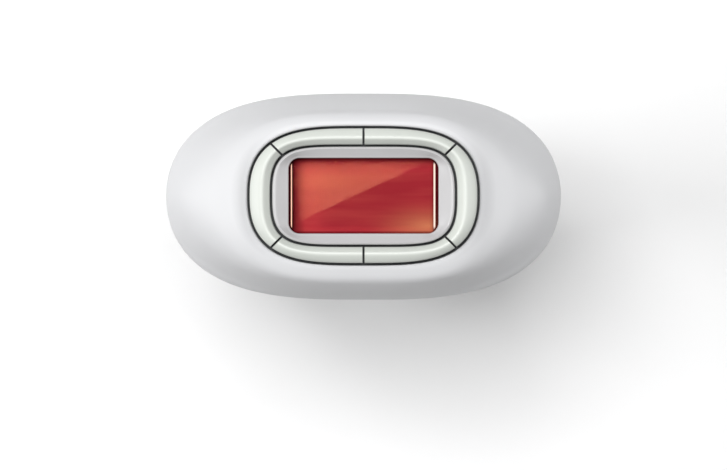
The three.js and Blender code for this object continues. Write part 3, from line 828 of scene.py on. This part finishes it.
def screws():
    """Four screws with rounded heads and six-sided drives."""
    for number, (side, z) in SCREWS.items():
        low, high = box(f"housing_screw_{number}")
        seat, top = SCREW_SEAT + 0.3, high[1]
        shank, head = 1.5, 2.7
        profile = [(0.7, low[1]), (shank, low[1] + 0.8), (shank, seat), (head, seat),
                   (head, top - 0.45), (head - 0.15, top - 0.15), (head - 0.45, top), (0.4, top)]
        screw = lathe("screw", profile, (side * SCREW_X, 0, z), "y")
        drive = peg(1.3, side * SCREW_X, z, top - 1.0, top + 1, 6)
        carve(screw, [drive], 30)
        screw.name = f"screw_{number}"
        dress(screw, "handset", "screw_steel", STEEL, f"housing_screw_{number}")


FOOT = (9, 15, 4.4)                   # width, depth and corner of a rubber foot
FOOT_PLACE = (18, 0.5)
FOOT_GAP = 0.25                       # pocket round a foot
CAP_FLOOR = 3.4                       # inner face of the cap's floor
COLLAR = (5.0, 6.6, 7.0)              # inner and outer radius and height of the inlet's collar


def round_at(radius, z):
    """A circle round the middle line, with an oval's directions."""
    return oval([radius, radius, radius, z, 2, 2], TURNS)


def base_cap():
    """The tail of the housing: a shallow cup with a collar round the DC inlet."""
    heights = [*SKIN_CURVE[SKIN_CURVE[:, 3] < CAP_TOP - 2 * EDGE, 3],
               CAP_TOP - EDGE, CAP_TOP - NEAR_EDGE, CAP_TOP]
    points, normals = skin_grid(np.array(heights))
    inset = np.zeros(len(heights))
    inset[-2:] = [NEAR_EDGE, EDGE]
    outside = points - normals * inset[:, None, None]
    keep = [row for row in (points - normals * WALL)[::-1] if row[:, 2].min() > 5.0]
    bore, outer, top = COLLAR
    inner = [oval([27.0, 12.4, 13.5, CAP_FLOOR, *SKIN[0, 4:]], TURNS), round_at(outer, CAP_FLOOR),
             round_at(outer, top), round_at(bore, top), round_at(bore, CAP_LOW + EDGE),
             round_at(bore + EDGE, CAP_LOW)]
    cap = loft("tail", [*outside, *keep, *inner])
    width, depth, corner = FOOT
    pocket = (width + 2 * FOOT_GAP, depth + 2 * FOOT_GAP, corner + FOOT_GAP)
    x, y = FOOT_PLACE
    pockets = [tower("pocket", pocket, [(0, 0), (0, 2.1)], (side * x, y)) for side in (-1, 1)]
    dress(carve(cap, pockets), "handset", "body_shell", PEARL, "base_cap")


def feet():
    """Two rubber feet with rounded edges."""
    x, y = FOOT_PLACE
    for name, side in (("left", -1), ("right", 1)):
        high = box(f"foot_{name}")[1][2]
        sections = [(-0.35, 0), (-0.1, 0.08), (0, 0.3), (0, high - 0.1), (-0.1, high)]
        pad = tower(f"rubber_foot_{name}", FOOT, sections, (side * x, y))
        dress(pad, "handset", "foot_rubber", RUBBER, f"foot_{name}")


def dc_inlet():
    """The power socket: a block with a round nose, its bore and the pin in it."""
    low, high = box("dc_inlet")
    bottom, top = low[2], high[2]
    shoulder, depth = bottom + 1, top - 2
    nose_radius, bore, pin_radius, middle = 4.6, 2.9, 1.0, (0, 0, 0)
    block = tower("block", (10, 10, 0.5), [(-EDGE, shoulder), (0, shoulder + EDGE),
                                           (0, top - EDGE), (-EDGE, top)])
    nose = lathe("nose", [(nose_radius - EDGE, bottom), (nose_radius, bottom + EDGE),
                          (nose_radius, shoulder + 0.5)], middle)
    carve(block, [nose], operation="UNION")
    carve(block, [lathe("bore", [(bore, bottom - 1), (bore, depth)], middle)])
    pin = lathe("pin", [(pin_radius / 2, bottom + 1), (0.85 * pin_radius, bottom + 1.15),
                        (pin_radius, bottom + 1.5), (pin_radius, depth + 0.5)], middle, sides=24)
    join_into(block, [pin])
    dress(block, "handset", "structural_plastic", DARK, "dc_inlet")


# ---- Controls ----------------------------------------------------------------------

def control_panel():
    """The inlay that lies in the front grip's recess, and the chrome ring round the flash key."""
    depth = PANEL["depth"] - 0.3
    inlay = carve(skin_layer("inlay", 0, depth, *PANEL_LAYER), [pill(PANEL, 0)],
                  operation="INTERSECT")
    trim_hole = pill(FLASH_KEY, KEY_GAP + TRIM_WIDTH + PANEL_GAP)
    carve(inlay, [trim_hole, pill(POWER_KEY, KEY_GAP), *light_holes()])
    bevel(inlay, 0.12)
    dress(inlay, "handset", "panel_plastic", PANEL_GREY, "control_panel")

    trim = carve(skin_layer("key_trim", 0.35, depth, 80, 106),
                 [pill(FLASH_KEY, KEY_GAP + TRIM_WIDTH)], operation="INTERSECT")
    carve(trim, [pill(FLASH_KEY, KEY_GAP)])
    bevel(trim, 0.22, 3)
    dress(trim, "handset", "trim_chrome", CHROME, "flash_button_trim")


def keys():
    """The two keys: dished caps with a flange behind the panel and a peg to the switch."""
    for name, spec, body in (("flash", FLASH_KEY, "flash_key"), ("power", POWER_KEY, "power_key")):
        face, flange = spec["face"], spec["flange"]
        radius = min(spec["width"], spec["height"]) / 2
        dish = [(-radius * 0.95, face + 0.34), (-radius * 0.7, face + 0.31),
                (-radius * 0.45, face + 0.22), (-radius * 0.25, face + 0.08)]
        edge = [(-0.55, face + 0.005), (-0.4, face), (-0.18, face + 0.08), (-0.05, face + 0.22),
                (0, face + 0.45)]
        back = [(0, flange), (1.5, flange), (1.5, flange + 0.8)]
        size = (spec["width"], spec["height"], radius - 0.001)
        key = tower(f"{name}_key_cap", size, [*dish, *edge, *back], (0, spec["z"]), "y", corner=20)
        join_into(key, [peg(2, 0, spec["z"], flange + 0.7, KEY_TIP)])
        dress(key, body, "button_plastic", KEY_GREY, f"{name}_button")


def level_lights():
    """A clear bar behind the panel, with a domed pin in each light hole."""
    front, back = LIGHT_BAR
    bar = tower("level_lights", (3, 15, 0.4), [(0, front), (0, back)], (0, 78), "y")
    pins = []
    for z in LEVEL_LIGHTS:
        tip = -skin_at(z)[1]
        dome = [(0.3, tip - 0.02), (0.6, tip + 0.03), (0.8, tip + 0.16), (0.8, front + 0.1)]
        pins.append(lathe("pin", dome, (0, 0, z), "y", 24))
    join_into(bar, pins)
    dress(bar, "handset", "light_guide", LIGHT, "level_light_guide")


front_grip()
back_grip()
screws()
base_cap()
feet()
dc_inlet()
control_panel()
keys()
level_lights()


# ---- Springs under the pads ---------------------------------------------------------

SPRING = dict(radius=1.36, wire=0.11, coils=3.5, steps=120)  # wire is its radius


def springs():
    """A coil under each pad."""
    wire, steps = SPRING["wire"], SPRING["steps"]
    around = np.linspace(0, 2 * math.pi, 8, endpoint=False)
    out = SPRING["radius"] + wire * np.cos(around)
    for node in [n for n in frame["nodes"] if n.startswith("pad_spring_")]:
        name = node.removeprefix("pad_spring_")
        low, high = box(node)
        x, y, _ = (low + high) / 2
        turns = np.linspace(0, 2 * math.pi * SPRING["coils"], steps)
        lift = np.linspace(low[2] + wire, high[2] - wire, steps)
        rows = [np.stack([x + out * math.cos(turn), y + out * math.sin(turn),
                          z + wire * np.sin(around)], 1) for turn, z in zip(turns, lift)]
        coil = loft(f"coil_{name}", rows, loop=False, sharp=80)
        dress(coil, "handset", "spring_steel", STEEL, node)
        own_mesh(coil)


springs()


# ---- Carried-over CAD nodes ----------------------------------------------------------

SLOT_LOOKS = {
    "body_shell": PEARL, "contact_pad": PAD_WHITE, "bezel_grey": BEZEL_GREY,
    "filter_glass": FILTER, "seal_rubber": RUBBER, "foot_rubber": RUBBER,
    "structural_plastic": DARK, "reflector_mirror": MIRROR, "quartz_glass": QUARTZ,
    "terminal_steel": STEEL, "holder_ceramic": CERAMIC, "lead_silicone": LEAD_RED,
    "circuit_board": BOARD, "capacitor_sleeve": SLEEVE, "ferrite": FERRITE,
    "copper_winding": COPPER, "heat_sink_aluminium": ALUMINIUM, "button_plastic": KEY_GREY,
    "panel_plastic": PANEL_GREY, "light_guide": LIGHT, "trim_chrome": CHROME,
    "screw_steel": STEEL, "spring_steel": STEEL,
}
for part in frame["record"]["subparts"]:
    node = frame["nodes"][part["node"]]
    if not node.hide_render:
        node.data.materials.clear()
        node.data.materials.append(SLOT_LOOKS[part["material_slot"]])


# ---- Studio ------------------------------------------------------------------------

# name, azimuth, elevation, size in metres, and irradiance over pi on a face turned to it
LIGHTS = [
    ("key", 115, 79, 0.36, 0.85),
    ("low_key", 135, 30, 0.30, 0.10),
    ("left", 180, 35, 0.50, 0.58),
    ("right", 4, 31, 0.50, 0.32),
]
LIGHT_DISTANCE = 1.0                  # metres from the window's face
WORLD_STRENGTH = 0.06
FLOOR_HALF = 3000                     # half the floor's side

VIEW_WIDTH = 0.1463                   # metres across the picture at the window's face
VIEW_SHIFT = -0.0079                  # metres from the window's middle to the picture's, along Y
LENS, SENSOR = 150, 36


def area_light(name, position, target, size, power):
    """A square light that faces its target."""
    data = bpy.data.lights.new(name, "AREA")
    data.shape, data.size, data.energy = "SQUARE", size, power
    lamp = bpy.data.objects.new(name, data)
    lamp.location = position
    lamp.rotation_euler = (target - position).to_track_quat("-Z", "Y").to_euler()
    bpy.context.scene.collection.objects.link(lamp)


def studio():
    """A pale floor, four soft lights and a dim white surround."""
    side = FLOOR_HALF
    floor = make("floor", [[-side, -side, 0], [side, -side, 0], [side, side, 0], [-side, side, 0]],
                 [(0, 1, 2, 3)])
    floor.data.materials.append(surface("floor_paper", (0.92, 0.92, 0.92), 0.9, mottle=0.004,
                                        mottle_size=60, grain=0.01, grain_size=2))

    centre = Vector((0, 0, PANE_TOP * MM))
    for name, azimuth, elevation, size, strength in LIGHTS:
        turn, rise = math.radians(azimuth), math.radians(elevation)
        toward = Vector((math.cos(turn) * math.cos(rise), math.sin(turn) * math.cos(rise),
                         math.sin(rise)))
        power = strength * math.pi ** 2 * LIGHT_DISTANCE ** 2
        area_light(name, centre + LIGHT_DISTANCE * toward, centre, size, power)

    world = bpy.data.worlds.new("studio")
    world.use_nodes = True
    background = world.node_tree.nodes["Background"]
    background.inputs["Color"].default_value = (1, 1, 1, 1)
    background.inputs["Strength"].default_value = WORLD_STRENGTH
    bpy.context.scene.world = world
    bpy.context.scene.view_settings.view_transform = "Standard"


def camera():
    """Looks straight down at the window."""
    data = bpy.data.cameras.new("camera")
    data.lens, data.sensor_width = LENS, SENSOR
    eye = bpy.data.objects.new("camera", data)
    eye.location = (0, VIEW_SHIFT, PANE_TOP * MM + VIEW_WIDTH * LENS / SENSOR)
    bpy.context.scene.collection.objects.link(eye)
    bpy.context.scene.camera = eye


studio()
camera()
